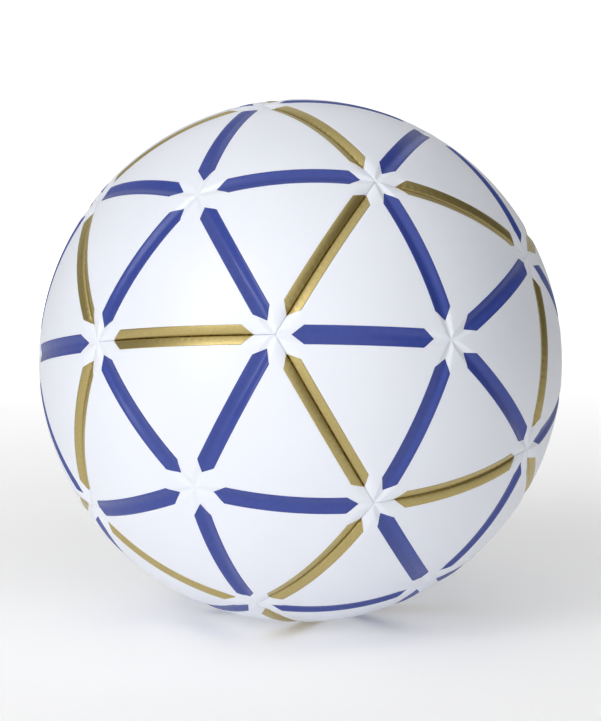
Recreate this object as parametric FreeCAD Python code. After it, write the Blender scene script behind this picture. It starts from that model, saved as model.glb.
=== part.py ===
"""Stitched sports ball with twelve five-sided cover panels and sixty triangular faces.

Each panel is a laminate: an outer skin whose rim turns inwards as a sewing flange, a foam pad and a cloth
lining. Five shallow channels run from the middle of each panel to its corners, so that every panel reads as
five triangles. Two neighbouring flanges are lock-stitched together under a V-shaped valley. Blue film lines
the channels and gold film lines the valleys. A rubber bladder with a needle valve fills the ball.

Frame: origin at the ball's centre, +Z up, +Y out through the valve. Units are millimetres.
"""

import FreeCAD
import Part
import math
import os

from FreeCAD import Matrix, Placement, Vector

# Driving dimensions.
BALL_RADIUS = 90.0
SKIN = 1.2
FOAM = 3.4
LINING = 1.2

VALLEY_HALF_WIDTH = 3.7
VALLEY_DEPTH = 2.0
SEAM_HALF_GAP = 0.1

CHANNEL_HALF_WIDTH = 2.8
CHANNEL_DEPTH = 1.0
HUB_DIMPLE_DEPTH = 1.15
HUB_DIMPLE_RADIUS = 5.7

FILM = 0.2
BLUE_TIP_AT_CENTRE = 6.4
BLUE_TIP_AT_CORNER = 5.1
BLUE_TAPER = 4.0
GOLD_TIP = 7.2
GOLD_TAPER = 3.3

THREAD_RADIUS = 0.3
THREAD_RADIUS_IN_HOLE = 0.25
STITCH_PITCH = 3.0
STITCH_CLEARANCE = 0.1
STITCH_DEPTH = 3.9
SEAM_END_MARGIN = 4.5
FOAM_EDGE = 2.2
LINING_EDGE = 0.4

BLADDER_GAP = 0.2
BLADDER_WALL = 1.0

VALVE_ROLL = -120.8
BOOT_FLANGE_RADIUS = 15.0
BOOT_FLANGE_WALL = 1.5
BOOT_STEM_RADIUS = 4.6
BOOT_HEAD_RADIUS = 3.5
BOOT_LENGTH = 17.0
BOOT_RECESS = 0.3
CORE_RADIUS = 2.85
CORE_CLEARANCE = 0.05
CORE_LIP_RADIUS = 3.6
CORE_LIP_LENGTH = 1.2
NEEDLE_BORE_RADIUS = 1.0
NEEDLE_BORE_LENGTH = 9.0
NEEDLE_MOUTH_RADIUS = 1.7
NEEDLE_MOUTH_LENGTH = 0.8
VALVE_HOLE_CLEARANCE = 0.15
BALANCE_PATCH_RADIUS = 17.0
BALANCE_PATCH_WALL = 2.4

# Worked out from the driving dimensions.
SKIN_INSIDE = BALL_RADIUS - SKIN
FOAM_INSIDE = SKIN_INSIDE - FOAM
LINING_INSIDE = FOAM_INSIDE - LINING
BLADDER_OUTSIDE = LINING_INSIDE - BLADDER_GAP
BLADDER_INSIDE = BLADDER_OUTSIDE - BLADDER_WALL
CHANNEL_TUBE = (CHANNEL_HALF_WIDTH**2 + CHANNEL_DEPTH**2) / (2 * CHANNEL_DEPTH)
CHANNEL_TUBE_CENTRE = BALL_RADIUS - CHANNEL_DEPTH + CHANNEL_TUBE
STITCH_LINE_RADIUS = BALL_RADIUS - STITCH_DEPTH

# A regular dodecahedron's angles, seen from its centre.
GOLDEN = (1 + math.sqrt(5)) / 2
CENTRE_TO_CORNER = math.acos(math.sqrt((5 + 2 * math.sqrt(5)) / 15))
CENTRE_TO_EDGE = math.atan(1 / GOLDEN)
HALF_EDGE = math.acos(math.cos(CENTRE_TO_CORNER) / math.cos(CENTRE_TO_EDGE))
SIDES = 5
STEP = 2 * math.pi / SIDES
FAR = 1.5 * BALL_RADIUS
EASE = 1.15
SEAM_OVERRUN = math.radians(6)

ORIGIN = Vector(0, 0, 0)
X_AXIS = Vector(1, 0, 0)
Y_AXIS = Vector(0, 1, 0)
Z_AXIS = Vector(0, 0, 1)


def direction(polar, azimuth):
    """Unit vector at a polar angle from the panel's own axis, +Z, and an azimuth from +X."""
    return Vector(
        math.sin(polar) * math.cos(azimuth),
        math.sin(polar) * math.sin(azimuth),
        math.cos(polar),
    )


def turned(shape, axis, angle):
    """A copy of a shape, turned about an axis through the ball's centre by an angle in radians."""
    copy = shape.copy()
    copy.rotate(ORIGIN, axis, math.degrees(angle))
    return copy


def turned_vector(vector, axis, angle):
    """A direction turned about an axis by an angle in radians."""
    return FreeCAD.Rotation(axis, math.degrees(angle)).multVec(vector)


def ball(radius):
    """Solid ball whose poles and seam line stay clear of the panel on +Z."""
    return turned(Part.makeSphere(radius), Y_AXIS, math.pi / 2)


# The first panel lies on +Z. Its first seam is the one at azimuth half a step.
SEAM_MIDDLE = direction(CENTRE_TO_EDGE, STEP / 2)
SEAM_NORMAL = direction(CENTRE_TO_EDGE + math.pi / 2, STEP / 2)


def seam_point(into_panel, height):
    """Point in the plane across the middle of the first seam: its distance into the panel and its height."""
    return SEAM_MIDDLE * height - SEAM_NORMAL * into_panel


def valley_wall(offset):
    """The valley's straight wall, moved into the panel: a first point and a unit direction, as (in, up)."""
    top = math.sqrt(BALL_RADIUS**2 - VALLEY_HALF_WIDTH**2)
    bottom = BALL_RADIUS - VALLEY_DEPTH
    run, rise = VALLEY_HALF_WIDTH - SEAM_HALF_GAP, top - bottom
    length = math.hypot(run, rise)
    along = (run / length, rise / length)
    start = (SEAM_HALF_GAP + offset * along[1], bottom - offset * along[0])
    return start, along


def pyramid(edge):
    """Five-sided pyramid whose sides lie a distance inside the planes of the panel's seams."""
    apex = Z_AXIS * (edge / math.sin(CENTRE_TO_EDGE))
    rim = [apex + direction(CENTRE_TO_CORNER, k * STEP) * FAR for k in range(SIDES)]
    sides = [Part.Face(Part.makePolygon([apex, rim[k - 1], rim[k], apex])) for k in range(SIDES)]
    cap = Part.Face(Part.makePolygon(rim + rim[:1]))
    return Part.makeSolid(Part.makeShell(sides + [cap]))


def valley_cutter(offset, edge):
    """What has to be cut away along the first seam: everything above the valley's wall."""
    start, along = valley_wall(offset)
    near, far = edge - SEAM_HALF_GAP - SKIN, 2 * VALLEY_HALF_WIDTH
    wall = [(p, start[1] + (p - start[0]) / along[0] * along[1]) for p in (near, far)]
    top = BALL_RADIUS + VALLEY_HALF_WIDTH
    face = Part.Face(Part.makePolygon([seam_point(*p) for p in wall + [(far, top), (near, top)] + wall[:1]]))
    reach = HALF_EDGE + SEAM_OVERRUN
    return turned(face, SEAM_NORMAL, -reach).revolve(ORIGIN, SEAM_NORMAL, 2 * math.degrees(reach))


def channel(offset):
    """Round-bottomed cutter along the first channel, from the panel's middle to past its corner."""
    circle = Part.Circle(Vector(0, 0, CHANNEL_TUBE_CENTRE), X_AXIS, CHANNEL_TUBE + offset)
    face = Part.Face(Part.Wire(circle.toShape()))
    return face.revolve(ORIGIN, Y_AXIS, math.degrees(CENTRE_TO_CORNER) + 4)


def hub_dimple(offset):
    """Shallow dish in the panel's middle, where its five channels meet."""
    centre = Vector(0, 0, BALL_RADIUS - HUB_DIMPLE_DEPTH + HUB_DIMPLE_RADIUS)
    return Part.makeSphere(HUB_DIMPLE_RADIUS + offset, centre, X_AXIS)


def panel_body(offset, edge):
    """The panel's outer form, solid down to the ball's centre, with every surface moved inwards."""
    body = ball(BALL_RADIUS - offset).common(pyramid(edge))
    for cutter in (valley_cutter(offset, edge), channel(offset)):
        body = body.cut([turned(cutter, Z_AXIS, k * STEP) for k in range(SIDES)])
    return body.cut(hub_dimple(offset))


def stitch_angles():
    """Angles from the middle of a seam at which the thread passes through both flanges."""
    reach = HALF_EDGE - SEAM_END_MARGIN / STITCH_LINE_RADIUS
    pitch = STITCH_PITCH / STITCH_LINE_RADIUS
    count = int(reach / pitch)
    return [i * pitch for i in range(-count, count + 1)]


def needle_holes():
    """The holes that the needle leaves in the flanges of one whole panel."""
    radius = THREAD_RADIUS_IN_HOLE + STITCH_CLEARANCE
    start = seam_point(-SKIN, STITCH_LINE_RADIUS)
    hole = Part.makeCylinder(radius, 3 * SKIN + 2 * SEAM_HALF_GAP, start, SEAM_NORMAL * -1)
    row = [turned(hole, SEAM_NORMAL, angle) for angle in stitch_angles()]
    return [turned(pin, Z_AXIS, k * STEP) for k in range(SIDES) for pin in row]


def skin_panel():
    """Outer skin of one panel, with its five sewing flanges."""
    shell = panel_body(0, SEAM_HALF_GAP).cut(ball(LINING_INSIDE))
    skin = shell.cut(panel_body(SKIN, SEAM_HALF_GAP + SKIN))
    return skin.cut(needle_holes())


def foam_panel():
    """Foam pad glued under the skin, cut back from the flanges to leave room for the stitches."""
    return panel_body(SKIN, SEAM_HALF_GAP + SKIN + FOAM_EDGE).cut(ball(FOAM_INSIDE))


def lining_panel():
    """Laminated cloth lining of one panel."""
    shell = ball(FOAM_INSIDE).cut(ball(LINING_INSIDE))
    return shell.common(pyramid(SEAM_HALF_GAP + SKIN + LINING_EDGE))


def wedge(middle, outline):
    """Solid that spreads from the ball's centre through an outline of directions around a middle one."""
    def ring(distance):
        points = [d * (distance / d.dot(middle)) for d in outline]
        return Part.makePolygon(points + [points[0]])

    return Part.makeLoft([ring(LINING_INSIDE), ring(FAR)], True, True)


def pointed_outline(toward, start, end, half_width, taper, side):
    """Directions round a strip with pointed ends, a little wider than the strip so only its ends are cut.

    toward(angle) is a direction on the strip's middle line and side is the unit vector across it. The tips
    are at the angles start and end. The half width and the taper are lengths on the ball's surface.
    """
    run = EASE * taper / BALL_RADIUS
    lean = EASE * half_width / BALL_RADIUS
    upper = [(start, 0), (start + run, lean), (end - run, lean)]
    lower = [(end, 0), (end - run, -lean), (start + run, -lean)]
    return [toward(a) * math.cos(s) + side * math.sin(s) for a, s in upper + lower]


def blue_strip():
    """Film in the first channel: the channel's own round floor, one film thick, with pointed ends."""
    skin = channel(0).cut(channel(-FILM)).common(ball(BALL_RADIUS))
    start = BLUE_TIP_AT_CENTRE / BALL_RADIUS
    end = CENTRE_TO_CORNER - BLUE_TIP_AT_CORNER / BALL_RADIUS
    outline = pointed_outline(
        lambda a: direction(a, 0), start, end, CHANNEL_HALF_WIDTH, BLUE_TAPER, Y_AXIS
    )
    return skin.common(wedge(direction((start + end) / 2, 0), outline))


def gold_strip():
    """Film on the panel's own side of the first valley, one film thick, with pointed ends."""
    start, along = valley_wall(0)
    length = (VALLEY_HALF_WIDTH - start[0]) / along[0]
    lift = FILM / along[0]
    foot = (start[0], start[1])
    rim = (start[0] + length * along[0], start[1] + length * along[1])
    outline = [foot, rim, (rim[0], rim[1] + lift), (foot[0], foot[1] + lift), foot]
    face = Part.Face(Part.makePolygon([seam_point(*p) for p in outline]))
    ring = turned(face, SEAM_NORMAL, -HALF_EDGE).revolve(ORIGIN, SEAM_NORMAL, 2 * math.degrees(HALF_EDGE))

    reach = HALF_EDGE - GOLD_TIP / BALL_RADIUS
    ends = pointed_outline(
        lambda a: turned_vector(SEAM_MIDDLE, SEAM_NORMAL, a),
        -reach,
        reach,
        VALLEY_HALF_WIDTH,
        GOLD_TAPER,
        SEAM_NORMAL * -1,
    )
    return ring.common(wedge(SEAM_MIDDLE, ends)).common(ball(BALL_RADIUS))


def six_sided(centre, first, second, radius):
    """Hexagonal face round a centre, in the plane of two unit vectors, with a corner on the first."""
    turns = [k * math.pi / 3 for k in range(6)]
    corners = [centre + (first * math.cos(t) + second * math.sin(t)) * radius for t in turns]
    return Part.Face(Part.makePolygon(corners + corners[:1]))


def thread(inner_side):
    """One thread of the first seam: a rail along its flange, and pins from it to the seam's middle.

    Both have six sides. That is close to a waxed thread pulled tight, and light enough to repeat.
    """
    sign = 1 if inner_side else -1
    rail_distance = SEAM_HALF_GAP + SKIN + THREAD_RADIUS
    tangent = SEAM_NORMAL.cross(SEAM_MIDDLE)
    angles = stitch_angles()
    spare = THREAD_RADIUS / STITCH_LINE_RADIUS * 3
    centre = seam_point(sign * rail_distance, STITCH_LINE_RADIUS)
    section = six_sided(centre, SEAM_NORMAL, SEAM_MIDDLE, THREAD_RADIUS)
    rail = turned(section, SEAM_NORMAL, angles[0] - spare).revolve(
        ORIGIN, SEAM_NORMAL, math.degrees(angles[-1] - angles[0] + 2 * spare)
    )
    seam_centre = seam_point(0, STITCH_LINE_RADIUS)
    pin_section = six_sided(seam_centre, SEAM_MIDDLE, tangent, THREAD_RADIUS_IN_HOLE)
    pin = pin_section.extrude(SEAM_NORMAL * (-sign * rail_distance))
    return rail.fuse([turned(pin, SEAM_NORMAL, a) for a in angles])


def panel_turns():
    """The twelve placements that carry the first panel to each of the ball's panels."""
    upper = [Placement()]
    for k in range(SIDES):
        middle = direction(CENTRE_TO_EDGE, STEP / 2 + k * STEP)
        upper.append(Placement(ORIGIN, FreeCAD.Rotation(middle, 180)))
    level = Vector(math.cos(0.75 * STEP), math.sin(0.75 * STEP), 0)
    over = Placement(ORIGIN, FreeCAD.Rotation(level, 180))
    return upper + [over.multiply(p) for p in upper]


def lay_down():
    """Placement that turns the valve, in the middle of a triangle of the first panel, to +Y."""
    tilt = valve_polar_angle()
    valve = direction(tilt, STEP / 2)
    centre_side = (Z_AXIS - valve * math.cos(tilt)).normalize()
    roll = math.radians(VALVE_ROLL)
    old = [valve, centre_side, valve.cross(centre_side)]
    up_side = Vector(math.sin(roll), 0, math.cos(roll))
    new = [Y_AXIS, up_side, Y_AXIS.cross(up_side)]
    rows = [sum((new[i] * old[i][c] for i in range(3)), Vector()) for c in range(3)]
    x_row, y_row, z_row = [(rows[0][i], rows[1][i], rows[2][i], 0) for i in range(3)]
    return Placement(Matrix(*x_row, *y_row, *z_row, 0, 0, 0, 1))


def valve_polar_angle():
    """Angle from the panel's middle to where its channels and its seam are equally far away."""
    low, high = 0.0, CENTRE_TO_EDGE
    for _ in range(60):
        middle = (low + high) / 2
        to_channel = math.asin(math.sin(middle) * math.sin(STEP / 2))
        if to_channel < CENTRE_TO_EDGE - middle:
            low = middle
        else:
            high = middle
    return middle


def revolved_about_y(outline):
    """Solid of revolution about +Y from points (radius, distance along +Y)."""
    wire = Part.makePolygon([Vector(r, y, 0) for r, y in outline + outline[:1]])
    return Part.Face(wire).revolve(ORIGIN, Y_AXIS, 360)


def valve_hole(radius):
    """Round hole along +Y, out through the ball's surface."""
    return Part.makeCylinder(radius, FAR, ORIGIN, Y_AXIS)


def bladder():
    """Inflated rubber bladder with the hole that the valve's stem comes out of."""
    shell = Part.makeSphere(BLADDER_OUTSIDE).cut(Part.makeSphere(BLADDER_INSIDE))
    return shell.cut(valve_hole(BOOT_STEM_RADIUS + VALVE_HOLE_CLEARANCE))


def curved_disc(radius, outer, inner, way):
    """Round piece of a spherical shell, centred on +Y or -Y."""
    return Part.makeSphere(outer).cut(Part.makeSphere(inner)).common(
        Part.makeCylinder(radius, FAR, ORIGIN, way)
    )


def valve_boot():
    """Rubber housing: a flange against the inside of the bladder and a stem out to the skin."""
    top = BALL_RADIUS - BOOT_RECESS
    shoulder = SKIN_INSIDE - BOOT_RECESS
    cavity = CORE_RADIUS + CORE_CLEARANCE
    outline = [
        (cavity, top - BOOT_LENGTH),
        (BOOT_STEM_RADIUS, top - BOOT_LENGTH),
        (BOOT_STEM_RADIUS, shoulder),
        (BOOT_HEAD_RADIUS, shoulder),
        (BOOT_HEAD_RADIUS, top),
        (cavity, top),
    ]
    flange = curved_disc(
        BOOT_FLANGE_RADIUS, BLADDER_INSIDE - CORE_CLEARANCE, BLADDER_INSIDE - BOOT_FLANGE_WALL, Y_AXIS
    )
    return revolved_about_y(outline).fuse(flange.cut(valve_hole(cavity)))


def valve_core():
    """Self-sealing rubber plug with a blind bore for the inflating needle."""
    top = BALL_RADIUS - 2 * BOOT_RECESS
    foot = BALL_RADIUS - BOOT_RECESS - BOOT_LENGTH - CORE_CLEARANCE
    bore_end = top - NEEDLE_MOUTH_LENGTH - NEEDLE_BORE_LENGTH
    outline = [
        (0, foot - CORE_LIP_LENGTH),
        (CORE_LIP_RADIUS, foot - CORE_LIP_LENGTH),
        (CORE_LIP_RADIUS, foot),
        (CORE_RADIUS, foot),
        (CORE_RADIUS, top),
        (NEEDLE_MOUTH_RADIUS, top),
        (NEEDLE_BORE_RADIUS, top - NEEDLE_MOUTH_LENGTH),
        (NEEDLE_BORE_RADIUS, bore_end),
        (0, bore_end),
    ]
    return revolved_about_y(outline)


def balance_patch():
    """Rubber disc inside the bladder that balances the valve on the other side."""
    return curved_disc(
        BALANCE_PATCH_RADIUS,
        BLADDER_INSIDE - CORE_CLEARANCE,
        BLADDER_INSIDE - BALANCE_PATCH_WALL,
        Y_AXIS * -1,
    )


def placed(shape, *placements):
    """A copy of a shape with placements applied one after the other."""
    copy = shape.copy()
    for p in placements:
        copy.Placement = p.multiply(copy.Placement)
    return copy


def write(name, solids):
    """Writes one node as STEP, from one solid or a list of them."""
    shape = solids[0] if len(solids) == 1 else Part.makeCompound(solids)
    found = len(shape.Solids)
    print(f"{name:24s} solids {found:3d} volume {shape.Volume / 1000:8.2f} cm3 valid {shape.isValid()}")
    shape.exportStep(f"parts/{name}.step")


def only_solid(shape):
    """The one solid of a boolean's result."""
    if len(shape.Solids) != 1:
        raise ValueError(f"expected one solid, found {len(shape.Solids)}")
    return shape.Solids[0]


def main():
    os.makedirs("parts", exist_ok=True)
    base = lay_down()
    turns = [base.multiply(p) for p in panel_turns()]
    spins = [Placement(ORIGIN, FreeCAD.Rotation(Z_AXIS, math.degrees(k * STEP))) for k in range(SIDES)]

    layers = {
        "cover_skin": (only_solid(skin_panel()), BOOT_HEAD_RADIUS + VALVE_HOLE_CLEARANCE),
        "foam_pad": (only_solid(foam_panel()), BOOT_STEM_RADIUS + 3 * VALVE_HOLE_CLEARANCE),
        "cloth_lining": (only_solid(lining_panel()), BOOT_STEM_RADIUS + 2 * VALVE_HOLE_CLEARANCE),
    }
    for name, (shape, hole) in layers.items():
        for i, turn in enumerate(turns, 1):
            piece = placed(shape, turn)
            if i == 1:
                piece = only_solid(piece.cut(valve_hole(hole)))
            write(f"{name}_{i:02d}", [piece])

    for name, shape in (("blue_stripe_film", blue_strip()), ("gold_stripe_film", gold_strip())):
        strip = only_solid(shape)
        write(name, [placed(strip, spin, turn) for turn in turns for spin in spins])

    seams, found = [], []
    for turn in turns:
        for spin in spins:
            middle = turn.Rotation.multVec(spin.Rotation.multVec(SEAM_MIDDLE))
            if all(middle.dot(other) < math.cos(HALF_EDGE) for other in found):
                found.append(middle)
                seams.append((spin, turn))
    for name, inner_side in (("needle_thread", True), ("bobbin_thread", False)):
        half = only_solid(thread(inner_side))
        write(name, [placed(half, *seam) for seam in seams])

    write("bladder", [only_solid(bladder())])
    write("valve_boot", [only_solid(valve_boot())])
    write("valve_core", [only_solid(valve_core())])
    write("balance_patch", [only_solid(balance_patch())])


main()
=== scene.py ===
# %% [markdown]
# # A stitched sports ball
# This notebook dresses a hand-sized inflated ball. The real one is twelve five-sided panels of soft white
# polyurethane, sewn together along thirty seams. Each panel has five pressed channels that run from its middle to
# its corners, so the ball reads as sixty triangles. Blue film lies in the channels and gold film in the seams.
#
# Every surface here is worked out from angles on a sphere, with numpy, and not sculpted. One panel is computed
# once in its own frame and turned into twelve places, which is also how the real ball is cut and sewn.

# %% Load the frame
import math

import bpy
import numpy as np
from mathutils import Matrix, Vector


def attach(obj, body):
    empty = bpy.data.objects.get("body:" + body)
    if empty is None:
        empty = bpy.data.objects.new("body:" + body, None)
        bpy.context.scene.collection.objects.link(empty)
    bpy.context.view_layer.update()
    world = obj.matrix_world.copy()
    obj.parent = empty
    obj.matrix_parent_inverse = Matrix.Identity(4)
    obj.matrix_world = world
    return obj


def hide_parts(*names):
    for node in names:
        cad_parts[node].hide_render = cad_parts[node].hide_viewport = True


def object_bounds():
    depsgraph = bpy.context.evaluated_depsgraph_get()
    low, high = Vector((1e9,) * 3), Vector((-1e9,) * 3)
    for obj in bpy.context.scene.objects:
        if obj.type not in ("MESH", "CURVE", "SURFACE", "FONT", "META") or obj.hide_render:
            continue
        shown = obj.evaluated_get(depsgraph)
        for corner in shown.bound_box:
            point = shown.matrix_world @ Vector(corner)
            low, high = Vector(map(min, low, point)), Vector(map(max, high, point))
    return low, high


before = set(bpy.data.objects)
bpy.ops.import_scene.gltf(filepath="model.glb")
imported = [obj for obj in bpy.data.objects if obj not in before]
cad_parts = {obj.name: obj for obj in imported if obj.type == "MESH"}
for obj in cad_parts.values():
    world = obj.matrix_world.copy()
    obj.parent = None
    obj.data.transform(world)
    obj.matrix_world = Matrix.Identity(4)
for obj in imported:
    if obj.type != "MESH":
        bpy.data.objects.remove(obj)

cad_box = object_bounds()
print("frame nodes", len(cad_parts))

# %% [markdown]
# ## Sizes
# Lengths are in millimetres until a mesh is made, because stitches and film are easier to think of that way. The
# radius is half the longest side of the frame's own box. The rest are the workshop's sizes: how wide a channel is
# pressed, how deep a seam valley lies, how far a film's point stays from the place where the stripes meet.

# %% Driving dimensions
MM = 0.001
BALL_RADIUS = round(max(b - a for a, b in zip(*cad_box)) / 2 / MM)

VALLEY_HALF_WIDTH = 4.3
VALLEY_DEPTH = 1.35
VALLEY_AT_CORNER = 0.66
VALLEY_DEPTH_AT_CORNER = 0.26
LIP_RADIUS = 0.6
LIP_AT_CORNER = 0.4
PANEL_GAP = 0.015
FILM_SEAT = 0.17

CHANNEL_HALF_WIDTH = 3.2
CHANNEL_DEPTH = 0.9
CHANNEL_AT_HUB = 0.40
CHANNEL_NARROWS_FROM = 11.0

SKIN = 1.25
FLANGE_HEAD = 86.6
FLANGE_FOOT = 84.2
FLANGE_TAPER = 1.1

BLUE_HALF_WIDTH = 3.1
BLUE_TIP_AT_CENTRE = 6.4
BLUE_TIP_AT_CORNER = 5.1
BLUE_TAPER = 4.0
GOLD_HALF_WIDTH = 3.2
GOLD_TIP = 7.0
GOLD_TAPER = 3.8
FILM = 0.04
FILM_ROOT = 0.18

STITCH_PITCH = 2.6
NEEDLE_THREAD_DEPTH = 2.6
BOBBIN_THREAD_DEPTH = 3.4
BOBBIN_SHIFT = 0.06
THREAD_RADIUS = 0.22
THREAD_BAR = 0.9
THREAD_END = 4.5
PUCKER = 0.14
STITCH_GAP = 0.09
FILM_GAP = 0.015

VALVE_ROLL = -120.8
print("ball radius", BALL_RADIUS, "mm")

# %% [markdown]
# ## Angles of the panel
# Twelve regular pentagons close up into a dodecahedron. Blown up onto a sphere, its angles are fixed by the golden
# ratio: the middle of a panel is 37.4 degrees from its corners and 31.7 degrees from its edges. Working from these
# angles, and not from measured points, makes all twelve panels meet exactly.

# %% Angles
GOLDEN = (1 + math.sqrt(5)) / 2
CENTRE_TO_CORNER = math.acos(math.sqrt((5 + 2 * math.sqrt(5)) / 15))
CENTRE_TO_EDGE = math.atan(1 / GOLDEN)
HALF_EDGE = math.acos(math.cos(CENTRE_TO_CORNER) / math.cos(CENTRE_TO_EDGE))
SIDES = 5
STEP = 2 * math.pi / SIDES


def direction(polar, azimuth):
    """Unit vectors at a polar angle from +Z and an azimuth from +X: (sin p cos a, sin p sin a, cos p)."""
    polar, azimuth = np.broadcast_arrays(polar, azimuth)
    return np.stack(
        [np.sin(polar) * np.cos(azimuth), np.sin(polar) * np.sin(azimuth), np.cos(polar)], -1
    )


def unit(v):
    """Vectors divided by their lengths."""
    return v / np.linalg.norm(v, axis=-1, keepdims=True)


print("corner", round(math.degrees(CENTRE_TO_CORNER), 3), "edge", round(math.degrees(CENTRE_TO_EDGE), 3))

# %% [markdown]
# ## Where the twelve panels go
# A turn of half a circle about the middle of an edge swaps a panel with its neighbour. Five such turns make the
# first ring of panels, and one more half turn about a level axis makes the other six. The whole ball is then laid
# down so that the valve, which sits in the middle of one triangle, points along +Y.


# %% Turns of the panels
def axis_turn(axis, angle):
    """Rotation matrix about an axis by Rodrigues' formula: I + sin(t) K + (1 - cos(t)) K K."""
    x, y, z = axis
    k = np.array([[0, -z, y], [z, 0, -x], [-y, x, 0]])
    return np.eye(3) + math.sin(angle) * k + (1 - math.cos(angle)) * k @ k


def triangle_middle():
    """Polar angle of a triangle's middle: where the distance to its channels equals that to its seam.

    The distance to a channel is asin(sin p sin 36), and the distance to the seam is edge angle minus p.
    """
    polar = np.linspace(0, CENTRE_TO_EDGE, 20001)
    gap = np.arcsin(np.sin(polar) * math.sin(STEP / 2)) - (CENTRE_TO_EDGE - polar)
    return float(np.interp(0, gap, polar))


def lay_down():
    """Rotation that takes the valve's direction to +Y and its panel's middle to a roll angle about +Y."""
    tilt = triangle_middle()
    valve = direction(tilt, STEP / 2)
    side = unit(np.array([0, 0, 1.0]) - valve * math.cos(tilt))
    roll = math.radians(VALVE_ROLL)
    up_side = np.array([math.sin(roll), 0, math.cos(roll)])
    y_axis = np.array([0, 1.0, 0])
    old = np.stack([valve, side, np.cross(valve, side)])
    new = np.stack([y_axis, up_side, np.cross(y_axis, up_side)])
    return new.T @ old


edge_middles = [direction(CENTRE_TO_EDGE, STEP / 2 + k * STEP) for k in range(SIDES)]
upper = [np.eye(3)] + [axis_turn(m, math.pi) for m in edge_middles]
level = np.array([math.cos(0.75 * STEP), math.sin(0.75 * STEP), 0])
over = axis_turn(level, math.pi)
PANEL_TURNS = [lay_down() @ t for t in upper + [over @ t for t in upper]]
SECTOR_TURNS = [axis_turn((0, 0, 1), k * STEP) for k in range(SIDES)]
print("panels", len(PANEL_TURNS), "first panel's middle", PANEL_TURNS[0][:, 2].round(3))

# %% [markdown]
# ## Two distances that fit the panel
# A polar grid about the panel's middle would cross every channel and seam at a slant and make ragged edges. A
# better pair of coordinates is the distance to the nearest seam and the distance to the nearest channel, because
# then grid lines run along both. On a sphere the distance to a great circle is the arcsine of a dot product, so
# the direction with two given distances comes out in closed form.

# %% Seam and channel coordinates
SEAM_INWARD = -direction(CENTRE_TO_EDGE + math.pi / 2, STEP / 2)
CHANNEL_SIDE = np.array([0, 1.0, 0])
OVERLAP = float(SEAM_INWARD @ CHANNEL_SIDE)
ALONG = unit(np.cross(CHANNEL_SIDE, SEAM_INWARD))
ALONG = ALONG * np.sign(ALONG[2])
CORNER = direction(CENTRE_TO_CORNER, 0.0)


def from_distances(seam, channel):
    """Directions in the first sector from the distance to its seam and the signed distance to its channel.

    Both sines are dot products with plane normals, so the two parts in the plane of the normals solve a two by two
    system, and the third part makes the length one. A negative channel distance mirrors the point in the channel.
    """
    s, c = np.sin(seam / BALL_RADIUS), np.sin(np.abs(channel) / BALL_RADIUS)
    square = 1 - OVERLAP**2
    a, b = (s - OVERLAP * c) / square, (c - OVERLAP * s) / square
    rest = np.sqrt(np.maximum(1 - a**2 - b**2 - 2 * a * b * OVERLAP, 0))
    d = a[..., None] * SEAM_INWARD + b[..., None] * CHANNEL_SIDE + rest[..., None] * ALONG
    d[..., 1] *= np.where(channel < 0, -1, 1)
    return d


def distances(d):
    """Lengths on the ball from directions in a panel: to seam, two nearest channels, middle and corner."""
    polar = np.arccos(np.clip(d[..., 2], -1, 1))
    turn = np.abs((np.arctan2(d[..., 1], d[..., 0]) + STEP / 2) % STEP - STEP / 2)
    folded = direction(polar, turn)
    seam = np.arcsin(folded @ SEAM_INWARD)
    near = np.arcsin(np.clip(folded @ CHANNEL_SIDE, -1, 1))
    second = np.arcsin(np.clip(np.sin(polar) * np.sin(STEP - turn), -1, 1))
    corner = np.arccos(np.clip(folded @ CORNER, -1, 1))
    return [BALL_RADIUS * x for x in (seam, near, second, polar, corner)]


check = from_distances(np.array([5.0]), np.array([7.0]))
print("seam and channel distances read back", [round(float(x[0]), 3) for x in distances(check)[:2]])

# %% [markdown]
# ## The panel's relief
# A channel is pressed into the foam, so its floor and shoulders are round: a cosine bell does it. A seam valley is
# where two padded edges roll down to the stitches, so each wall is a parabola, steepest at the seam. Close to the
# places where stripes meet, both get narrower, and the tips of the triangles come forward between them. The two
# depths are joined by a fourth-power mean, which acts like taking the larger but leaves no hard crease.


# %% Depth of channels and valleys
def soft_step(x, start, end):
    """Smooth step, 3t^2 - 2t^3, where t runs from 0 at start to 1 at end."""
    t = np.clip((x - start) / (end - start), 0, 1)
    return t * t * (3 - 2 * t)


def channel_narrowing(to_middle, to_corner):
    """Share of a channel's full width: one along its run, less towards the panel's middle and its corners."""
    near = np.minimum(to_middle, to_corner + BLUE_TIP_AT_CENTRE - BLUE_TIP_AT_CORNER)
    return CHANNEL_AT_HUB + (1 - CHANNEL_AT_HUB) * np.clip(near / CHANNEL_NARROWS_FROM, 0, 1)


def channel_depth(side, narrowing):
    """Cosine bell across the channel: half the depth times one plus cos(pi x / half width)."""
    x = np.clip(side / (CHANNEL_HALF_WIDTH * narrowing), 0, 1)
    return 0.5 * CHANNEL_DEPTH * (0.1 + 0.9 * narrowing) * (1 + np.cos(math.pi * x))


def valley_depth(seam, to_corner):
    """Padded edge that rolls down to the seam: the full depth times (1 - distance / half width) squared."""
    share = VALLEY_AT_CORNER + (1 - VALLEY_AT_CORNER) * soft_step(to_corner, 1, 9)
    depth = VALLEY_DEPTH * (VALLEY_DEPTH_AT_CORNER + (1 - VALLEY_DEPTH_AT_CORNER) * soft_step(to_corner, 1, 9))
    return depth * np.clip(1 - seam / (VALLEY_HALF_WIDTH * share), 0, 1) ** 2


def panel_radius(d):
    """Distance of the panel's outer surface from the ball's centre, in a direction of the panel's own frame."""
    seam, near, second, to_middle, to_corner = distances(d)
    narrowing = channel_narrowing(to_middle, to_corner)
    parts = [channel_depth(x, narrowing) for x in (near, second)] + [valley_depth(seam, to_corner)]
    return BALL_RADIUS - sum(p**4 for p in parts) ** 0.25


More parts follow.
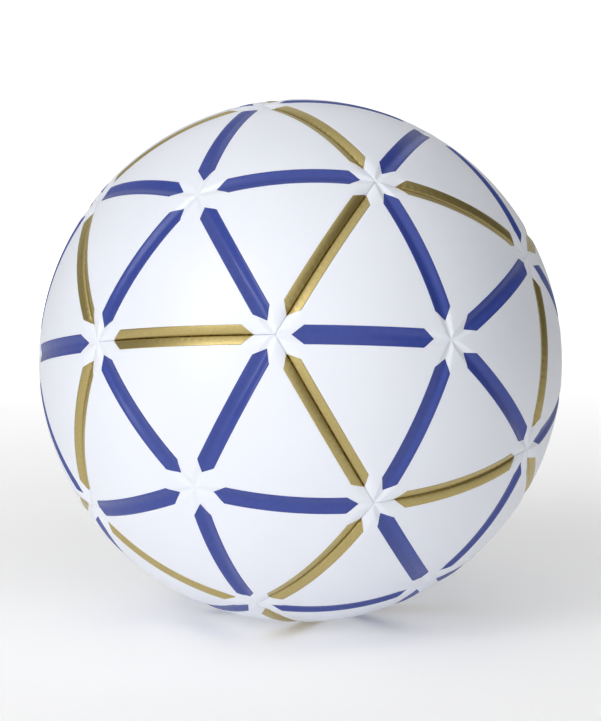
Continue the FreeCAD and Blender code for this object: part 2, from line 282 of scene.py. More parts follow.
middle_of_channel = panel_radius(direction(CENTRE_TO_CORNER / 2, 0.0))
seam_edge = panel_radius(edge_middles[0])
print("channel floor at", round(float(middle_of_channel), 2), "seam edge at", round(float(seam_edge), 2))

# %% [markdown]
# ## From arrays to meshes
# All pieces here are closed skins, and most are tubes: rows of rings, closed at each end by a point or by the
# next row. One function writes the quads for rows and columns of points, and another hands the arrays to Blender
# with foreach_set, which is much faster than adding faces one at a time.


# %% Mesh helpers
def ring_quads(rows, columns):
    """Quads between rows of closed rings, as index rows: (i, j), (i, j+1), (i+1, j+1), (i+1, j)."""
    i, j = np.meshgrid(np.arange(rows - 1), np.arange(columns), indexing="ij")
    k = (j + 1) % columns
    quads = np.stack([i * columns + j, i * columns + k, (i + 1) * columns + k, (i + 1) * columns + j], -1)
    return quads.reshape(-1, 4)


def fan(ring, tip, flip=False):
    """Triangles from each side of a ring of indices to one tip vertex, as quads with the last index repeated."""
    following = np.roll(ring, -1)
    pair = (following, ring) if flip else (ring, following)
    tips = np.full_like(ring, tip)
    return np.stack([pair[0], pair[1], tips, tips], -1)


def new_mesh(name, points, faces, material):
    """Makes an object from points in millimetres and rows of four indices; a repeated last index is a triangle."""
    sizes = np.where(faces[:, 2] == faces[:, 3], 3, 4)
    corners = faces[np.arange(4) < sizes[:, None]]
    mesh = bpy.data.meshes.new(name)
    mesh.vertices.add(len(points))
    mesh.vertices.foreach_set("co", (np.asarray(points) * MM).astype(np.float32).ravel())
    mesh.loops.add(len(corners))
    mesh.loops.foreach_set("vertex_index", corners.astype(np.int32))
    mesh.polygons.add(len(faces))
    mesh.polygons.foreach_set("loop_start", np.concatenate([[0], np.cumsum(sizes)[:-1]]).astype(np.int32))
    mesh.polygons.foreach_set("use_smooth", np.ones(len(faces), bool))
    mesh.update(calc_edges=True)
    mesh.validate()
    mesh.materials.append(material)
    piece = bpy.data.objects.new(name, mesh)
    bpy.context.scene.collection.objects.link(piece)
    return piece


def tube_with_tips(rings, first_tip, last_tip):
    """Points and faces of a tube of closed rings whose two ends close in single points."""
    rows, columns = rings.shape[:2]
    points = np.concatenate([rings.reshape(-1, 3), [first_tip, last_tip]])
    start, end = np.arange(columns), np.arange(columns) + (rows - 1) * columns
    ends = [fan(start, rows * columns, flip=True), fan(end, rows * columns + 1)]
    return points, np.concatenate([ring_quads(rows, columns)] + ends)


def repeated(points, faces, turns):
    """Copies of one shape under several rotations, stacked into one array of points and one of faces."""
    copies = np.concatenate([points @ np.asarray(t).T for t in turns])
    shifted = [faces + k * len(points) for k in range(len(turns))]
    return copies, np.concatenate(shifted)


def signed_volume(points, faces):
    """Volume from the sum of tetrahedra to the origin; positive when faces point outwards."""
    a, b, c, d = (points[faces[:, k]] for k in range(4))
    return float((np.einsum("ij,ij->i", a, np.cross(b, c)) + np.einsum("ij,ij->i", a, np.cross(c, d))).sum() / 6)


def facing_out(points, faces):
    """The faces, turned round if their volume comes out negative."""
    if signed_volume(points, faces) > 0:
        return faces
    turned = faces[:, ::-1].copy()
    triangle = faces[:, 2] == faces[:, 3]
    turned[triangle] = faces[triangle][:, [1, 0, 2, 3]]
    return turned


print("helpers ready")

# %% [markdown]
# ## Materials
# The cover is polyurethane with a soft, slightly glossy grip coat, so it gets a fine pebble in its bump, a faint
# change of tint and a roughness that wanders a little. The blue is a smooth film. The gold is a metallic film
# whose flakes catch the light one by one, which a fine noise in its colour and bump gives. All patterns are read
# from Object coordinates, so they stay put on the piece.


# %% Shader helpers
def new_material(name, colour, roughness, metallic=0.0):
    """A Principled material with its plain values set on the sockets."""
    material = bpy.data.materials.new(name)
    material.use_nodes = True
    shader = material.node_tree.nodes["Principled BSDF"]
    shader.inputs["Base Color"].default_value = (*colour, 1)
    shader.inputs["Roughness"].default_value = roughness
    shader.inputs["Metallic"].default_value = metallic
    return material, shader


def noise(tree, scale, detail=3.0, roughness=0.5):
    """Noise over the piece's own coordinates; scale is in cycles per metre."""
    place = tree.nodes.new("ShaderNodeTexCoord")
    texture = tree.nodes.new("ShaderNodeTexNoise")
    texture.inputs["Scale"].default_value = scale
    texture.inputs["Detail"].default_value = detail
    texture.inputs["Roughness"].default_value = roughness
    tree.links.new(place.outputs["Object"], texture.inputs["Vector"])
    return texture.outputs["Fac"]


def between(tree, factor, low, high):
    """A colour ramp from one colour at the noise's usual low to another at its usual high."""
    ramp_node = tree.nodes.new("ShaderNodeValToRGB")
    ramp_node.color_ramp.elements[0].position = 0.3
    ramp_node.color_ramp.elements[1].position = 0.7
    ramp_node.color_ramp.elements[0].color = (*low, 1)
    ramp_node.color_ramp.elements[1].color = (*high, 1)
    tree.links.new(factor, ramp_node.inputs["Fac"])
    return ramp_node.outputs["Color"]


def spread(tree, factor, low, high):
    """A number that follows the noise from low to high."""
    node = tree.nodes.new("ShaderNodeMapRange")
    node.inputs["From Min"].default_value = 0.3
    node.inputs["From Max"].default_value = 0.7
    node.inputs["To Min"].default_value = low
    node.inputs["To Max"].default_value = high
    tree.links.new(factor, node.inputs["Value"])
    return node.outputs["Result"]


def bump(tree, shader, height, depth_mm, strength):
    """Fine relief from a height, with its depth in millimetres."""
    node = tree.nodes.new("ShaderNodeBump")
    node.inputs["Strength"].default_value = strength
    node.inputs["Distance"].default_value = depth_mm * MM
    tree.links.new(height, node.inputs["Height"])
    tree.links.new(node.outputs["Normal"], shader.inputs["Normal"])


print("shader helpers ready")


# %% White polyurethane
def cover_material():
    """White polyurethane with a thin, slightly rough coat and a fine pebble in its bump."""
    material, shader = new_material("white_grip_polyurethane", (0.835, 0.862, 0.93), 0.42)
    tree = material.node_tree
    shader.inputs["Specular IOR Level"].default_value = 0.45
    shader.inputs["Coat Weight"].default_value = 0.25
    shader.inputs["Coat Roughness"].default_value = 0.28
    tint = between(tree, noise(tree, 35, 4), (0.825, 0.853, 0.922), (0.845, 0.871, 0.938))
    tree.links.new(tint, shader.inputs["Base Color"])
    tree.links.new(spread(tree, noise(tree, 140, 3), 0.37, 0.47), shader.inputs["Roughness"])
    bump(tree, shader, noise(tree, 2600, 2), 0.02, 0.35)
    return material


WHITE = cover_material()
print("made", WHITE.name)


# %% Blue film
def blue_material():
    """Smooth blue film whose colour and roughness wander a little."""
    material, shader = new_material("blue_film", (0.036, 0.061, 0.30), 0.45)
    tree = material.node_tree
    shader.inputs["Specular IOR Level"].default_value = 0.3
    shader.inputs["Coat Weight"].default_value = 0.3
    shader.inputs["Coat Roughness"].default_value = 0.13
    tint = between(tree, noise(tree, 420, 4), (0.033, 0.057, 0.287), (0.040, 0.066, 0.315))
    tree.links.new(tint, shader.inputs["Base Color"])
    tree.links.new(spread(tree, noise(tree, 900, 3), 0.40, 0.50), shader.inputs["Roughness"])
    bump(tree, shader, noise(tree, 3200, 2), 0.012, 0.3)
    return material


BLUE = blue_material()
print("made", BLUE.name)


# %% Gold film
def gold_material():
    """Metallic film with fine flakes in its colour and bump, under a thin clear coat."""
    material, shader = new_material("gold_film", (0.48, 0.385, 0.15), 0.42, metallic=0.9)
    tree = material.node_tree
    shader.inputs["Coat Weight"].default_value = 0.35
    shader.inputs["Coat IOR"].default_value = 1.5
    shader.inputs["Coat Roughness"].default_value = 0.2
    flakes = noise(tree, 3800, 2, 0.7)
    tint = between(tree, flakes, (0.39, 0.30, 0.105), (0.57, 0.465, 0.19))
    tree.links.new(tint, shader.inputs["Base Color"])
    tree.links.new(spread(tree, noise(tree, 1500, 3), 0.38, 0.48), shader.inputs["Roughness"])
    bump(tree, shader, flakes, 0.02, 0.35)
    return material


GOLD = gold_material()
print("made", GOLD.name)


# %% Thread and rubber
def thread_material():
    """Dark waxed thread with a fine twist in its bump."""
    material, shader = new_material("waxed_thread", (0.10, 0.075, 0.03), 0.6)
    tree = material.node_tree
    tint = between(tree, noise(tree, 2500, 2), (0.07, 0.05, 0.02), (0.15, 0.11, 0.05))
    tree.links.new(tint, shader.inputs["Base Color"])
    bump(tree, shader, noise(tree, 5000, 1), 0.05, 0.6)
    return material


def rubber_material(name, low, high, roughness):
    """Matt rubber whose colour wanders from low to high."""
    material, shader = new_material(name, high, roughness)
    tree = material.node_tree
    tree.links.new(between(tree, noise(tree, 300, 3), low, high), shader.inputs["Base Color"])
    bump(tree, shader, noise(tree, 2200, 2), 0.03, 0.4)
    return material


THREAD = thread_material()
VALVE_RUBBER = rubber_material("valve_rubber", (0.62, 0.63, 0.64), (0.70, 0.70, 0.70), 0.55)
BLADDER_RUBBER = rubber_material("bladder_latex", (0.035, 0.035, 0.035), (0.06, 0.055, 0.05), 0.5)
print("made", THREAD.name, VALVE_RUBBER.name, BLADDER_RUBBER.name)

# %% [markdown]
# ## One cover panel
# The skin is a closed shell: the outer face, a lip that rolls over at each seam, a flange that the stitches go
# through, and an inner face that follows the outer one. Rows of the grid keep a set distance from the seam and
# columns a set distance from the channel, packed closer where the surface bends. Every row is a closed ring
# through all five sectors, and the last row closes on the panel's middle.


# %% Rows and columns of the panel's grid
def spaced(*stretches):
    """Numbers in several stretches of even steps, from tuples (start, end, count), without the last end."""
    return np.concatenate([np.linspace(a, b, n, endpoint=False) for a, b, n in stretches])


def side_columns(to_corner, to_middle, widest, inner, outer):
    """Distances from the channel for each column: close up to its shoulder, then even up to the mirror."""
    narrowing = channel_narrowing(to_middle, to_corner)
    shoulder = np.minimum(1.15 * CHANNEL_HALF_WIDTH * narrowing, 0.8 * widest)[:, None]
    near = shoulder * np.linspace(0, 1, inner + 1)[None, :]
    far = shoulder + (widest[:, None] - shoulder) * np.linspace(0, 1, outer + 1)[None, 1:]
    return np.concatenate([near, far], 1)


def panel_rings(seam, inner=14, outer=32):
    """Directions of whole rings at given distances from the seam, one ring per row, all five sectors."""
    to_corner = BALL_RADIUS * np.arcsin(np.clip(np.sin(seam / BALL_RADIUS) / math.sin(math.radians(60)), 0, 1))
    to_middle = np.maximum(BALL_RADIUS * CENTRE_TO_CORNER - to_corner, 0)
    mirror = direction(CENTRE_TO_EDGE - seam / BALL_RADIUS, STEP / 2)
    widest = BALL_RADIUS * np.arcsin(mirror @ CHANNEL_SIDE)
    half = side_columns(to_corner, to_middle, widest, inner, outer)
    sector = np.concatenate([-half[:, :0:-1], half[:, :-1]], 1)
    d = from_distances(np.broadcast_to(seam[:, None], sector.shape), sector)
    return np.concatenate([d @ t.T for t in SECTOR_TURNS], 1)


MIDDLE_SEAM = BALL_RADIUS * CENTRE_TO_EDGE
rows = spaced((LIP_RADIUS, 4.8, 15), (4.8, MIDDLE_SEAM - 9, 27), (MIDDLE_SEAM - 9, MIDDLE_SEAM - 0.2, 20))
print("rows", len(rows), "points in a ring", panel_rings(rows[:1]).shape[1])


# %% The panel's shell
def half_gap(d):
    """Half of the opening between two panels: a hair at the corners, and more where film covers the edge."""
    to_corner = distances(d)[4]
    return PANEL_GAP + FILM_SEAT * soft_step(to_corner, GOLD_TIP - 0.4, GOLD_TIP + 1.6)


def lip_radius(d):
    """How round the panel's edge is: more under the film than near the corners, where the seam closes tight."""
    to_corner = distances(d)[4]
    return LIP_AT_CORNER + (LIP_RADIUS - LIP_AT_CORNER) * soft_step(to_corner, GOLD_TIP - 1.4, GOLD_TIP + 1.6)


def moved_in(d, shift):
    """Directions moved away from the nearest seam by a length, along the great circle towards the middle."""
    pole = np.array([0, 0, 1.0])
    toward = unit(pole - d * d[..., 2:3])
    angle = (shift / BALL_RADIUS)[..., None]
    return d * np.cos(angle) + toward * np.sin(angle)


def panel_shell():
    """Points and faces of one whole panel: lip and outer face, then flange, then inner face."""
    outer = panel_rings(rows)
    edge = panel_rings(np.array([1e-4]))[0]
    gap, roll = half_gap(edge), lip_radius(edge)
    base = panel_radius(edge)
    lip = []
    for turn in np.radians([0, 22, 45, 68]):
        point = moved_in(edge, gap + roll * (1 - math.cos(turn)))
        lip.append(point * (panel_radius(point) - roll * (1 - math.sin(turn)))[:, None])
    fade = np.clip(1 - (rows - LIP_RADIUS) / 2.0, 0, 1)[:, None]
    body = moved_in(outer, gap[None, :] * fade)
    face = body * panel_radius(body)[..., None]

    foot = moved_in(edge, gap)
    flange = [foot * radius for radius in (FLANGE_HEAD, FLANGE_FOOT)]
    back = moved_in(edge, gap + SKIN)
    flange += [back * FLANGE_FOOT, back * (base - SKIN - FLANGE_TAPER)[:, None]]
    inside = spaced((SKIN + 0.6, 5, 5), (5, MIDDLE_SEAM - 6, 14), (MIDDLE_SEAM - 6, MIDDLE_SEAM - 0.6, 6))
    hollow = panel_rings(inside)
    hollow = hollow * (panel_radius(hollow) - SKIN)[..., None]

    rings = np.concatenate([face[::-1], np.stack(lip[::-1]), np.stack(flange), hollow])
    pole = np.array([0, 0, 1.0])
    return tube_with_tips(rings, pole * panel_radius(pole), pole * (panel_radius(pole) - SKIN))


panel_points, panel_faces = panel_shell()
panel_faces = facing_out(panel_points, panel_faces)
panel_volume = signed_volume(panel_points, panel_faces) / 1000
print("panel points", len(panel_points), "volume", round(panel_volume, 2), "cm3")

# %% Twelve panels
panels = []
for number, turn in enumerate(PANEL_TURNS, 1):
    name = f"cover_skin_{number:02d}"
    panel = new_mesh(f"panel_{number:02d}", panel_points @ turn.T, panel_faces, WHITE)
    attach(panel, "root")
    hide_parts(name)
    panels.append(panel)
print("panels made", len(panels))

# %% [markdown]
# ## Blue film
# The film is cut with pointed ends and pressed into the channel under heat, so it follows the floor exactly. Each
# strip is a flat tube: its top rides a few hundredths of a millimetre above the skin and its underside is sunk in
# it, which gives the crisp, slightly raised edge of a real transfer.


# %% Blue strips
def strip_width(t, start, end, taper, full):
    """Half width of a strip with pointed ends: it grows evenly over the taper and is full between."""
    return full * np.clip(np.minimum((t - start) / taper, (end - t) / taper), 0, 1)


def along_strip(start, end, taper):
    """Places along a strip, without its tips, closer together in the points than on the long run."""
    return np.concatenate([
        spaced((start + 0.02, start + taper, 10), (start + taper, end - taper, 44)),
        np.linspace(end - taper, end - 0.02, 11),
    ])


def blue_strip():
    """Points and faces of the film in the first channel, in rings across it at each place along it."""
    start, end = BLUE_TIP_AT_CENTRE, BALL_RADIUS * CENTRE_TO_CORNER - BLUE_TIP_AT_CORNER
    t = along_strip(start, end, BLUE_TAPER)
    width = strip_width(t, start, end, BLUE_TAPER, BLUE_HALF_WIDTH)
    across = np.concatenate([np.linspace(-1, 1, 21), np.linspace(1, -1, 7)])
    lift = np.concatenate([np.full(21, FILM), np.full(7, -FILM_ROOT)])
    side = (width[:, None] * across[None, :]) / BALL_RADIUS
    line = direction(t / BALL_RADIUS, 0.0)[:, None, :]
    d = line * np.cos(side)[..., None] + CHANNEL_SIDE * np.sin(side)[..., None]
    rings = d * (panel_radius(d) + lift[None, :])[..., None]
    tips = [direction(x / BALL_RADIUS, 0.0) for x in (start, end)]
    return tube_with_tips(rings, *[p * panel_radius(p) for p in tips])


strip_points, strip_faces = blue_strip()
strip_faces = facing_out(strip_points, strip_faces)
five = repeated(strip_points, strip_faces, SECTOR_TURNS)
for number, turn in enumerate(PANEL_TURNS, 1):
    film = new_mesh(f"blue_film_{number:02d}", five[0] @ turn.T, five[1], BLUE)
    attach(film, "root")
    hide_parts("blue_stripe_film")
print("blue strips", 60, "faces in each", len(strip_faces))

# %% [markdown]
# ## Gold film
# In a seam valley each panel carries its own half of the gold, which runs over the lip and down between the
# flanges. The lock stitch pulls the two lips together at every stitch and lets them stand apart between,
# so the seam shows as a broken dark line with small puckers beside it. The same wave makes both.


# %% The stitches' wave
def stitch_wave(t):
    """Between 0 at a stitch and 1 half way to the next, as a raised cosine along the seam."""
    return 0.5 - 0.5 * np.cos(2 * math.pi * t / STITCH_PITCH)


def uneven(t, seed):
    """Slow wandering between about 0.6 and 1.4, from three sines whose phases come from a seed."""
    phase = np.random.default_rng(seed).uniform(0, 2 * math.pi, 3)
    waves = [np.sin(t / length + p) for length, p in zip((1.3, 2.9, 5.1), phase)]
    return 1 + 0.4 * sum(waves) / 3 * 1.6


print("wave at a stitch and between", stitch_wave(0.0), stitch_wave(STITCH_PITCH / 2))


# %% Gold strips
def gold_strip(seed, mirrored):
    """Points and faces of the film on one wall of the first seam; t runs along the seam from its middle."""
    reach = BALL_RADIUS * HALF_EDGE - GOLD_TIP
    plain = np.concatenate([
        spaced((-reach + 0.02, -reach + GOLD_TAPER, 12), (-reach + GOLD_TAPER, reach - GOLD_TAPER, 96)),
        np.linspace(reach - GOLD_TAPER, reach - 0.02, 13),
    ])
    t = plain * (-1 if mirrored else 1)
    width = strip_width(plain, -reach, reach, GOLD_TAPER, GOLD_HALF_WIDTH)
    wave = stitch_wave(t) * uneven(t, seed)
    gap = FILM_GAP + STITCH_GAP * wave

    turn = np.radians([0, 25, 50, 75])
    lip_in, lip_down = LIP_RADIUS * (1 - np.cos(turn)), LIP_RADIUS * (1 - np.sin(turn))
    wall = np.linspace(0, 1, 11)
    first = np.minimum(LIP_RADIUS, width * 0.4)[:, None]
    inward = np.concatenate([
        np.zeros((len(t), 2)),
        np.minimum(lip_in[None, :], first),
        first + (width[:, None] - first) * wall[None, :],
        width[:, None] * 0.985,
        0.12 + 0 * width[:, None],
    ], 1)
    down = np.concatenate([[1.6, 0.9], lip_down, 0 * wall, [FILM_ROOT + FILM, 2.0]])
    narrow = np.clip(width / 0.8, 0, 1)[:, None]
    inward = inward + gap[:, None] * np.exp(-inward)
    swell = PUCKER * wave[:, None] * np.exp(-((inward / 1.3) ** 2))

    tangent = np.cross(SEAM_INWARD, edge_middles[0])
    angle = plain / BALL_RADIUS
    line = edge_middles[0] * np.cos(angle)[:, None] + tangent * np.sin(angle)[:, None]
    shift = (inward / BALL_RADIUS)[..., None]
    d = line[:, None, :] * np.cos(shift) + SEAM_INWARD * np.sin(shift)
    radius = panel_radius(d) + (FILM + swell) * narrow - down[None, :] * narrow
    rings = d * radius[..., None]
    tips = [line[k] * (panel_radius(line[k]) - 0.3) for k in (0, -1)]
    return tube_with_tips(rings, *tips)


def seam_list():
    """Each seam once, as (panel and sector on one side, panel and sector on the other)."""
    places = [(p, k, PANEL_TURNS[p] @ SECTOR_TURNS[k] @ edge_middles[0]) for p in range(12) for k in range(5)]
    pairs = []
    for i, (p, k, middle) in enumerate(places):
        for q, m, other in places[i + 1 :]:
            if middle @ other > 0.999:
                pairs.append(((p, k), (q, m)))
    return pairs


SEAMS = seam_list()
gold_by_panel = {p: [] for p in range(12)}
for number, (one, other) in enumerate(SEAMS):
    for (p, k), mirrored in ((one, False), (other, True)):
        points, faces = gold_strip(number, mirrored)
        gold_by_panel[p].append((points @ (PANEL_TURNS[p] @ SECTOR_TURNS[k]).T, facing_out(points, faces)))
print("seams", len(SEAMS), "faces in a half strip", len(faces))

# %% Join the gold by panel
for p, strips in gold_by_panel.items():
    starts = np.cumsum([0] + [len(points) for points, _ in strips[:-1]])
    points = np.concatenate([points for points, _ in strips])
    faces = np.concatenate([faces + start for (_, faces), start in zip(strips, starts)])
    film = new_mesh(f"gold_film_{p + 1:02d}", points, faces, GOLD)
    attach(film, "root")
    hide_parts("gold_stripe_film")
print("gold pieces", len(gold_by_panel))

# %% [markdown]
# ## Stitches
# Each stitch is a short piece of twisted thread that crosses the seam below the lips. From outside it is only a
# speck in a dark slot, so a short bar with rounded ends and six sides is enough, repeated along all thirty seams.


# %% Thread bars
def bar(length, radius, sides=6):
    """Points and faces of a bar with rounded ends along +X: rings whose radii follow a half circle at each end."""
    angle = np.radians([20, 60, 90])
    x = np.concatenate([-length / 2 - radius * np.cos(angle), length / 2 + radius * np.cos(angle[::-1])])
    r = radius * np.concatenate([np.sin(angle), np.sin(angle[::-1])])
    around = np.arange(sides) * 2 * math.pi / sides
    rings = np.stack([
        np.broadcast_to(x[:, None], (6, sides)),
        r[:, None] * np.cos(around),
        r[:, None] * np.sin(around),
    ], -1)
    tip = length / 2 + radius
    return tube_with_tips(rings, np.array([-tip, 0, 0]), np.array([tip, 0, 0]))


def stitch_row(depth, offset, radius):
    """One bar across the first seam at every stitch, a depth below the ball's surface."""
    reach = HALF_EDGE - THREAD_END / BALL_RADIUS
    pitch = STITCH_PITCH / BALL_RADIUS
    count = int(reach / pitch)
    shape, faces = bar(THREAD_BAR, radius)
    faces = facing_out(shape, faces)
    tangent = np.cross(SEAM_INWARD, edge_middles[0])
    turns, shifts = [], []
    for k in range(-count, count + 1):
        angle = (k + offset) * pitch
        up = edge_middles[0] * math.cos(angle) + tangent * math.sin(angle)
        turns.append(np.stack([SEAM_INWARD, np.cross(up, SEAM_INWARD), up], 1))
        shifts.append(up * (BALL_RADIUS - depth))
    points = np.concatenate([shape @ t.T + s for t, s in zip(turns, shifts)])
    return points, np.concatenate([faces + i * len(shape) for i in range(len(turns))])


rows_of_thread = (
    ("needle_thread", NEEDLE_THREAD_DEPTH, 0.0),
    ("bobbin_thread", BOBBIN_THREAD_DEPTH, BOBBIN_SHIFT),
)
for node, depth, offset in rows_of_thread:
    row = stitch_row(depth, offset, THREAD_RADIUS)
    turns = [PANEL_TURNS[p] @ SECTOR_TURNS[k] for (p, k), _ in SEAMS]
    stitches = new_mesh(f"{node}_stitches", *repeated(*row, turns), THREAD)
    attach(stitches, "root")
    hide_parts(node)
    print(stitches.name, "faces", len(stitches.data.polygons))

# %% [markdown]
# ## What lies inside, and the valve
# Foam, lining, bladder and balance patch can't be seen in a finished ball, so the frame's own solids stay and get
# a fitting material. The valve shows at the back as a small rubber disc with a needle hole, so it is turned again
# here with rounded edges.


# %% Materials for the inner pieces
def soft_material(name, low, high, scale, depth_mm):
    """Foam or cloth: one noise gives both its colour and its relief."""
    material, shader = new_material(name, high, 0.85)
    tree = material.node_tree
    pattern = noise(tree, scale, 3)
    tree.links.new(between(tree, pattern, low, high), shader.inputs["Base Color"])
    bump(tree, shader, pattern, depth_mm, 0.5)
    return material


FOAM = soft_material("pad_foam", (0.70, 0.67, 0.58), (0.80, 0.78, 0.70), 1800, 0.1)
CLOTH = soft_material("lining_cloth", (0.60, 0.58, 0.52), (0.72, 0.70, 0.64), 1200, 0.08)
inner = {"foam_pad": FOAM, "cloth_lining": CLOTH, "bladder": BLADDER_RUBBER, "balance_patch": BLADDER_RUBBER}
for name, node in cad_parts.items():
    for prefix, material in inner.items():
        if name.startswith(prefix):
            node.data.materials.clear()
            node.data.materials.append(material)
print("inner materials set")


# %% Turned valve pieces
def turned_piece(name, profile, material, sides=72):
    """Solid of revolution about +Y from rows of (radius, distance along +Y); both ends close in a point."""
    profile = np.array(profile, float)
    around = np.arange(sides) * 2 * math.pi / sides
    r, y = profile[1:-1, 0][:, None], profile[1:-1, 1][:, None]
    rings = np.stack([r * np.cos(around), np.broadcast_to(y, (len(profile) - 2, sides)), r * np.sin(around)], -1)
    points, faces = tube_with_tips(rings, [0, profile[0, 1], 0], [0, profile[-1, 1], 0])
    return new_mesh(name, points, facing_out(points, faces), material)


def rounded(radius, y, fillet, outward=1):
    """Four points of a quarter circle that rounds the edge at a radius and a height."""
    turn = np.radians([0, 30, 60, 90])
    centre, height = radius - fillet, y - outward * fillet
    return [(centre + fillet * math.cos(a), height + outward * fillet * math.sin(a)) for a in turn]


def turned_ring(name, profile, material, sides=72):
    """Ring of revolution about +Y from a closed loop of rows of (radius, distance along +Y)."""
    profile = np.array(profile, float)
    around = np.arange(sides) * 2 * math.pi / sides
    r, y = profile[:, 0][:, None], profile[:, 1][:, None]
    points = np.stack([r * np.cos(around), np.broadcast_to(y, (len(profile), sides)), r * np.sin(around)], -1)
    points = points.reshape(-1, 3)
    faces = ring_quads(len(profile) + 1, sides) % len(points)
    return new_mesh(name, points, facing_out(points, faces), material)


print("rounded edge", [tuple(round(v, 2) for v in p) for p in rounded(3.5, 0, 0.3)])

# %% Hole, housing and plug of the valve
HOLE = 3.65
HOUSING_TOP = BALL_RADIUS - 0.3
HOUSING_LENGTH = 17
HOUSING_FOOT = HOUSING_TOP - HOUSING_LENGTH
HOUSING_BORE = 2.9
STEM, HEAD, NECK = 4.6, 3.5, 88.5
FLANGE_OUT, FLANGE_IN, FLANGE_REACH = 81.95, 80.5, 15.0

drill = turned_piece("valve_drill", [(0, 70), (HOLE, 70), (HOLE, 95), (0, 95)], WHITE)
cut = panels[0].modifiers.new("valve_hole", "BOOLEAN")
cut.object = drill
cut.solver = "EXACT"
bpy.context.view_layer.update()
drilled = bpy.data.meshes.new_from_object(panels[0].evaluated_get(bpy.context.evaluated_depsgraph_get()))
panels[0].modifiers.clear()
panels[0].data = drilled
drilled.set_sharp_from_angle(angle=math.radians(50))
bpy.data.objects.remove(drill)


def along_shell(radius, sideways):
    """Profile points on a sphere round the ball's centre, at distances from the +Y axis."""
    return [(x, math.sqrt(radius**2 - x**2)) for x in sideways]


housing = [(HOUSING_BORE, HOUSING_FOOT), (STEM, HOUSING_FOOT)]
flange_steps = (STEM, 8, 11.5, FLANGE_REACH)
housing += along_shell(FLANGE_IN, flange_steps) + along_shell(FLANGE_OUT, flange_steps[::-1])
housing += [(STEM, NECK), (HEAD, NECK)] + rounded(HEAD, HOUSING_TOP, 0.25) + [(HOUSING_BORE + 0.1, HOUSING_TOP)]
housing += [(HOUSING_BORE, HOUSING_TOP - 0.15)]
boot = turned_ring("valve_housing", housing, VALVE_RUBBER)

PLUG_TOP = HOUSING_TOP - 0.3
PLUG, PLUG_LIP, NEEDLE_HOLE = 2.85, 3.6, 1.0
plug_profile = [(0, HOUSING_FOOT - 1.25), (PLUG_LIP, HOUSING_FOOT - 1.25), (PLUG_LIP, HOUSING_FOOT - 0.05)]
plug_profile += [(PLUG, HOUSING_FOOT - 0.05)] + rounded(PLUG, PLUG_TOP, 0.3)
plug_profile += [(1.9, PLUG_TOP), (1.65, PLUG_TOP - 0.06), (1.2, PLUG_TOP - 0.5)]
plug_profile += [(NEEDLE_HOLE, PLUG_TOP - 0.8), (NEEDLE_HOLE, PLUG_TOP - 9.8), (0, PLUG_TOP - 9.8)]
plug = turned_piece("valve_plug", plug_profile, VALVE_RUBBER)

for piece, node in ((boot, "valve_boot"), (plug, "valve_core")):
    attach(piece, "root")
    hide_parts(node)
print("panel with the hole has", len(drilled.polygons), "faces, the plug", len(plug.data.polygons))

# %% [markdown]
# ## Stage, light and camera
# A tall soft light at the left, a wide one from the front and a broad one above give the even light of a product
# table. The pale floor runs up into a backdrop, and its glow is painted light: near the ball it glows a little,
# which lights the ball from below and lifts its shadow. Far from the ball it glows more, but only the camera sees
# that, so the gold reflects a darker room, and the right side of the ball falls away into a cool grey.


# %% Floor
# Painted light: how strongly the floor glows. The first value is the glow near the ball and the glow that every
# ray except the camera's meets; the second is the glow far from the ball, which only the camera sees.
FLOOR_PAINTED_GLOW = 0.2
BACKDROP_PAINTED_GLOW = 0.9
GLOW_STARTS, GLOW_FULL = 0.2, 1.2
FLOOR_REACH = 9000.0


def stage_material():
    """Pale sheet with painted light: it glows a little near the ball, which lights the ball from below and lifts
    its shadow, and more with distance where only the camera sees it.
    """
    material, shader = new_material("pale_floor", (0.93, 0.93, 0.93), 0.7)
    tree = material.node_tree
    place = tree.nodes.new("ShaderNodeTexCoord")
    distance = tree.nodes.new("ShaderNodeVectorMath")
    distance.operation = "LENGTH"
    far = tree.nodes.new("ShaderNodeMapRange")
    far.inputs["From Min"].default_value = GLOW_STARTS
    far.inputs["From Max"].default_value = GLOW_FULL
    seen = tree.nodes.new("ShaderNodeLightPath")
    share = tree.nodes.new("ShaderNodeMath")
    share.operation = "MULTIPLY"
    glow = tree.nodes.new("ShaderNodeMapRange")
    glow.inputs["To Min"].default_value = FLOOR_PAINTED_GLOW
    glow.inputs["To Max"].default_value = BACKDROP_PAINTED_GLOW
    tree.links.new(place.outputs["Object"], distance.inputs[0])
    tree.links.new(distance.outputs["Value"], far.inputs["Value"])
    tree.links.new(far.outputs["Result"], share.inputs[0])
    tree.links.new(seen.outputs["Is Camera Ray"], share.inputs[1])
    tree.links.new(share.outputs["Value"], glow.inputs["Value"])
    # Painted light: the floor's emission lights the ball from below, lifts its shadow and whitens the backdrop.
    shader.inputs["Emission Color"].default_value = (1, 1, 1, 1)
    tree.links.new(glow.outputs["Result"], shader.inputs["Emission Strength"])
    return material


def stage_floor():
    """A floor that bends up into a backdrop: a straight run, a quarter circle and a wall, swept sideways."""
    foot = -BALL_RADIUS
    bend, depth, height = 900.0, 1400.0, 3200.0
    turn = np.linspace(0, math.pi / 2, 24)
    y = np.concatenate([[-FLOOR_REACH], depth + bend * np.sin(turn), [depth + bend]])
    z = np.concatenate([[foot], foot + bend * (1 - np.cos(turn)), [foot + height]])
    x = np.array([-FLOOR_REACH, FLOOR_REACH])
    points = np.stack([np.repeat(x, len(y)), np.tile(y, 2), np.tile(z, 2)], -1)
    k = np.arange(len(y) - 1)
    faces = np.stack([k, k + len(y), k + len(y) + 1, k + 1], -1)
    return new_mesh("floor", points, faces, stage_material())


floor = stage_floor()
print("floor at", -BALL_RADIUS, "mm")


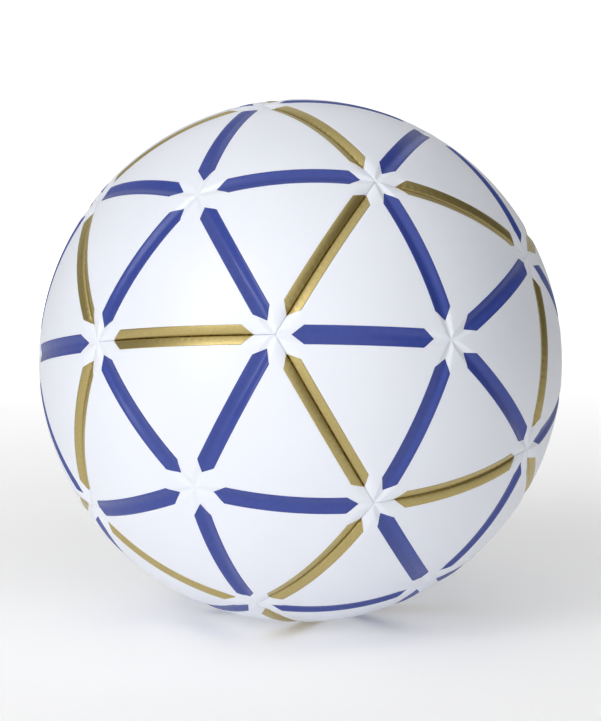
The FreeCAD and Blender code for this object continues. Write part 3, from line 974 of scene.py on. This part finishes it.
# %% Lights
def soft_light(name, azimuth, elevation, distance, size, power):
    """A square area light at an azimuth from the front and an elevation, aimed at the ball's centre."""
    data = bpy.data.lights.new(name, "AREA")
    data.shape = "RECTANGLE"
    data.size, data.size_y = size
    data.energy = power
    light = bpy.data.objects.new(name, data)
    a, e = math.radians(azimuth), math.radians(elevation)
    place = np.array([math.sin(a) * math.cos(e), -math.cos(a) * math.cos(e), math.sin(e)]) * distance
    light.location = place
    back = place / np.linalg.norm(place)
    side = unit(np.cross([0, 0, 1.0], back))
    up = np.cross(back, side)
    light.rotation_euler = Matrix(np.stack([side, up, back], 1)).to_euler()
    bpy.context.scene.collection.objects.link(light)
    return light


CAMERA_AZIMUTH, CAMERA_ELEVATION, CAMERA_ROLL = -15.43, 6.94, 0.2
LAMPS = {
    "key": (-38, 22, 1.6, (0.6, 1.25), 10.0),
    "fill": (4, 10, 1.5, (1.5, 1.1), 4.4),
    "over_front": (-10, 62, 1.5, (2.4, 2.0), 14.0),
    "over_back": (180, 60, 1.5, (1.4, 1.4), 2.6),
    "right_edge": (140, 20, 1.5, (0.6, 1.0), 0.3),
}
for name, (from_camera, height, distance, size, power) in LAMPS.items():
    soft_light(name, CAMERA_AZIMUTH + from_camera, height, distance, size, power)
world = bpy.data.worlds.new("studio")
bpy.context.scene.world = world
world.use_nodes = True
world.node_tree.nodes["Background"].inputs["Color"].default_value = (1.0, 1.0, 1.0, 1)
world.node_tree.nodes["Background"].inputs["Strength"].default_value = 0.05
print("lights", len(LAMPS))

# %% Camera
BALLS_AWAY = 10.3
LENS = 133.85
azimuth, elevation = math.radians(CAMERA_AZIMUTH), math.radians(CAMERA_ELEVATION)
back = np.array([
    math.sin(azimuth) * math.cos(elevation),
    -math.cos(azimuth) * math.cos(elevation),
    math.sin(elevation),
])
side = unit(np.cross([0, 0, 1.0], back))
turn = Matrix(np.stack([side, np.cross(back, side), back], 1)).to_4x4()
turn = turn @ Matrix.Rotation(math.radians(CAMERA_ROLL), 4, "Z")
camera_data = bpy.data.cameras.new("camera")
camera_data.lens = LENS
camera_data.sensor_width = 36
camera = bpy.data.objects.new("camera", camera_data)
camera.matrix_world = Matrix.Translation(back * BALLS_AWAY * BALL_RADIUS * MM) @ turn
bpy.context.scene.collection.objects.link(camera)
bpy.context.scene.camera = camera
bpy.context.scene.view_settings.view_transform = "Standard"
print("camera at", [round(v, 3) for v in camera.location])
